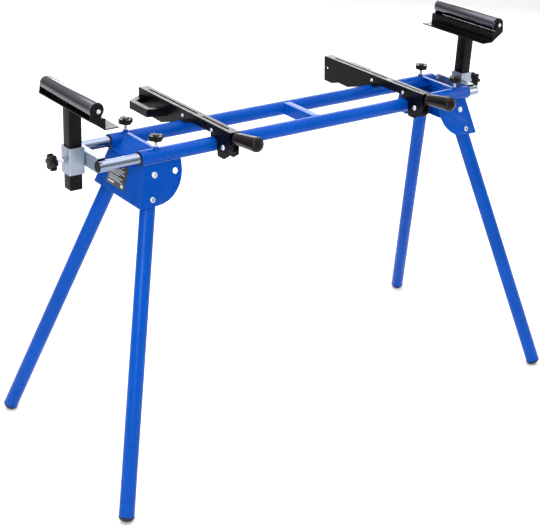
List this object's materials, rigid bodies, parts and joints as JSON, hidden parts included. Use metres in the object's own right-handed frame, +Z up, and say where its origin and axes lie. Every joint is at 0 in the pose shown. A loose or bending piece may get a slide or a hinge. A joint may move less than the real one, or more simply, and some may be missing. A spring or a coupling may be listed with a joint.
{
  "type": "folding mitre saw stand",
  "caption": "Folding mitre saw stand: two blue tubes on splayed folding legs, sliding end arms with height-adjustable rollers, and cam-clamped tool brackets.",
  "frame": {"origin": "on the floor under the middle of the stand", "axes": "+X along the main tubes towards the right end, +Y towards the rear, away from the operator, +Z up"},
  "size_m": [1.543, 0.6832, 1.0835],
  "materials": {
    "frame_blue": "glossy blue powder coat with fine orange peel",
    "black_coat": "satin black powder coat",
    "arm_chrome": "polished chrome tube with faint lengthwise draw lines",
    "roller_chrome": "chromed roller with fine turned rings",
    "zinc": "bright zinc plate, slightly mottled",
    "bolt_zinc": "zinc plated fasteners",
    "black_plastic": "moulded black plastic, lightly textured",
    "foot_rubber": "moulded black rubber"
  },
  "bodies": {
    "frame": {"main_tube_front": "frame_blue", "main_tube_rear": "frame_blue", "centre_brace": "frame_blue", "end_housing_left": "frame_blue", "tube_bush_front_left": "black_plastic", "leg_pivot_bolt_front_left": "bolt_zinc", "tube_bush_rear_left": "black_plastic", "leg_pivot_bolt_rear_left": "bolt_zinc", "end_housing_right": "frame_blue", "tube_bush_front_right": "black_plastic", "leg_pivot_bolt_front_right": "bolt_zinc", "tube_bush_rear_right": "black_plastic", "leg_pivot_bolt_rear_right": "bolt_zinc"},
    "arms_left": {"arm_front_left": "arm_chrome", "arm_rear_left": "arm_chrome", "arm_crossbar_left": "zinc", "post_sleeve_left": "zinc", "arm_plug_front_left": "black_plastic", "arm_plug_rear_left": "black_plastic"},
    "post_left": {"post_left": "black_coat", "head_bracket_left": "black_coat", "roller_axle_left": "bolt_zinc"},
    "roller_left": {"roller_left": "roller_chrome"},
    "post_knob_left": {"post_knob_left": "black_plastic"},
    "tool_bracket_left": {"tool_bracket_left": "black_coat", "lever_pin_left": "bolt_zinc"},
    "cam_lever_left": {"cam_lever_left": "black_coat", "lever_grip_left": "black_plastic"},
    "leg_front_left": {"leg_front_left": "frame_blue", "foot_cap_front_left": "foot_rubber"},
    "lock_button_front_left": {"lock_button_front_left": "bolt_zinc"},
    "tube_knob_front_left": {"tube_knob_front_left": "black_plastic"},
    "leg_rear_left": {"leg_rear_left": "frame_blue", "foot_cap_rear_left": "foot_rubber"},
    "lock_button_rear_left": {"lock_button_rear_left": "bolt_zinc"},
    "tube_knob_rear_left": {"tube_knob_rear_left": "black_plastic"},
    "arms_right": {"arm_front_right": "arm_chrome", "arm_rear_right": "arm_chrome", "arm_crossbar_right": "zinc", "post_sleeve_right": "zinc", "arm_plug_front_right": "black_plastic", "arm_plug_rear_right": "black_plastic"},
    "post_right": {"post_right": "black_coat", "head_bracket_right": "black_coat", "roller_axle_right": "bolt_zinc"},
    "roller_right": {"roller_right": "roller_chrome"},
    "post_knob_right": {"post_knob_right": "black_plastic"},
    "tool_bracket_right": {"tool_bracket_right": "black_coat", "lever_pin_right": "bolt_zinc"},
    "cam_lever_right": {"cam_lever_right": "black_coat", "lever_grip_right": "black_plastic"},
    "leg_front_right": {"leg_front_right": "frame_blue", "foot_cap_front_right": "foot_rubber"},
    "lock_button_front_right": {"lock_button_front_right": "bolt_zinc"},
    "tube_knob_front_right": {"tube_knob_front_right": "black_plastic"},
    "leg_rear_right": {"leg_rear_right": "frame_blue", "foot_cap_rear_right": "foot_rubber"},
    "lock_button_rear_right": {"lock_button_rear_right": "bolt_zinc"},
    "tube_knob_rear_right": {"tube_knob_rear_right": "black_plastic"}
  },
  "joints": [
    {"name": "arms_slide_left", "type": "slide", "parent": "frame", "child": "arms_left", "axis": [-1, 0, 0], "range_m": [-0.086, 0.304]},
    {"name": "post_slide_left", "type": "slide", "parent": "arms_left", "child": "post_left", "axis": [0, 0, 1], "range_m": [-0.073, 0.049]},
    {"name": "roller_spin_left", "type": "hinge", "parent": "post_left", "child": "roller_left", "pos_m": [-0.703, 0.012, 1.016], "axis": [0, 1, 0], "continuous": true},
    {"name": "post_knob_turn_left", "type": "hinge", "parent": "arms_left", "child": "post_knob_left", "pos_m": [-0.703, 0.01, 0.859], "axis": [-1, 0, 0], "range_deg": [0, 270]},
    {"name": "bracket_slide_left", "type": "slide", "parent": "frame", "child": "tool_bracket_left", "axis": [1, 0, 0], "range_m": [-0.05, 0.27]},
    {"name": "cam_lever_left", "type": "hinge", "parent": "tool_bracket_left", "child": "cam_lever_left", "pos_m": [-0.33, -0.121, 0.864], "axis": [1, 0, 0], "range_deg": [0, 75]},
    {"name": "leg_fold_front_left", "type": "hinge", "parent": "frame", "child": "leg_front_left", "pos_m": [-0.531, -0.06843, 0.8085], "axis": [0, -0.9528, 0.3035], "range_deg": [0, 104.8]},
    {"name": "lock_button_front_left", "type": "slide", "parent": "leg_front_left", "child": "lock_button_front_left", "axis": [0, 0.9528, -0.3035], "range_m": [0, 0.005], "stiffness_N_per_m": 600},
    {"name": "tube_knob_turn_front_left", "type": "hinge", "parent": "frame", "child": "tube_knob_front_left", "pos_m": [-0.516, -0.0727, 0.906], "axis": [0, 0, 1], "range_deg": [0, 270]},
    {"name": "leg_fold_rear_left", "type": "hinge", "parent": "frame", "child": "leg_rear_left", "pos_m": [-0.531, 0.06843, 0.8085], "axis": [0, -0.9528, -0.3035], "range_deg": [0, 104.8]},
    {"name": "lock_button_rear_left", "type": "slide", "parent": "leg_rear_left", "child": "lock_button_rear_left", "axis": [0, -0.9528, -0.3035], "range_m": [0, 0.005], "stiffness_N_per_m": 600},
    {"name": "tube_knob_turn_rear_left", "type": "hinge", "parent": "frame", "child": "tube_knob_rear_left", "pos_m": [-0.516, 0.0727, 0.906], "axis": [0, 0, 1], "range_deg": [0, 270]},
    {"name": "arms_slide_right", "type": "slide", "parent": "frame", "child": "arms_right", "axis": [1, 0, 0], "range_m": [-0.009, 0.381]},
    {"name": "post_slide_right", "type": "slide", "parent": "arms_right", "child": "post_right", "axis": [0, 0, 1], "range_m": [-0.12, 0.002]},
    {"name": "roller_spin_right", "type": "hinge", "parent": "post_right", "child": "roller_right", "pos_m": [0.626, 0.012, 1.064], "axis": [0, 1, 0], "continuous": true},
    {"name": "post_knob_turn_right", "type": "hinge", "parent": "arms_right", "child": "post_knob_right", "pos_m": [0.626, 0.01, 0.859], "axis": [1, 0, 0], "range_deg": [0, 270]},
    {"name": "bracket_slide_right", "type": "slide", "parent": "frame", "child": "tool_bracket_right", "axis": [1, 0, 0], "range_m": [-0.27, 0.05]},
    {"name": "cam_lever_right", "type": "hinge", "parent": "tool_bracket_right", "child": "cam_lever_right", "pos_m": [0.33, -0.121, 0.864], "axis": [1, 0, 0], "range_deg": [0, 75]},
    {"name": "leg_fold_front_right", "type": "hinge", "parent": "frame", "child": "leg_front_right", "pos_m": [0.531, -0.06843, 0.8085], "axis": [0, 0.9528, -0.3035], "range_deg": [0, 90]},
    {"name": "lock_button_front_right", "type": "slide", "parent": "leg_front_right", "child": "lock_button_front_right", "axis": [0, 0.9528, -0.3035], "range_m": [0, 0.005], "stiffness_N_per_m": 600},
    {"name": "tube_knob_turn_front_right", "type": "hinge", "parent": "frame", "child": "tube_knob_front_right", "pos_m": [0.516, -0.0727, 0.906], "axis": [0, 0, 1], "range_deg": [0, 270]},
    {"name": "leg_fold_rear_right", "type": "hinge", "parent": "frame", "child": "leg_rear_right", "pos_m": [0.531, 0.06843, 0.8085], "axis": [0, 0.9528, 0.3035], "range_deg": [0, 90]},
    {"name": "lock_button_rear_right", "type": "slide", "parent": "leg_rear_right", "child": "lock_button_rear_right", "axis": [0, -0.9528, -0.3035], "range_m": [0, 0.005], "stiffness_N_per_m": 600},
    {"name": "tube_knob_turn_rear_right", "type": "hinge", "parent": "frame", "child": "tube_knob_rear_right", "pos_m": [0.516, 0.0727, 0.906], "axis": [0, 0, 1], "range_deg": [0, 270]}
  ]
}
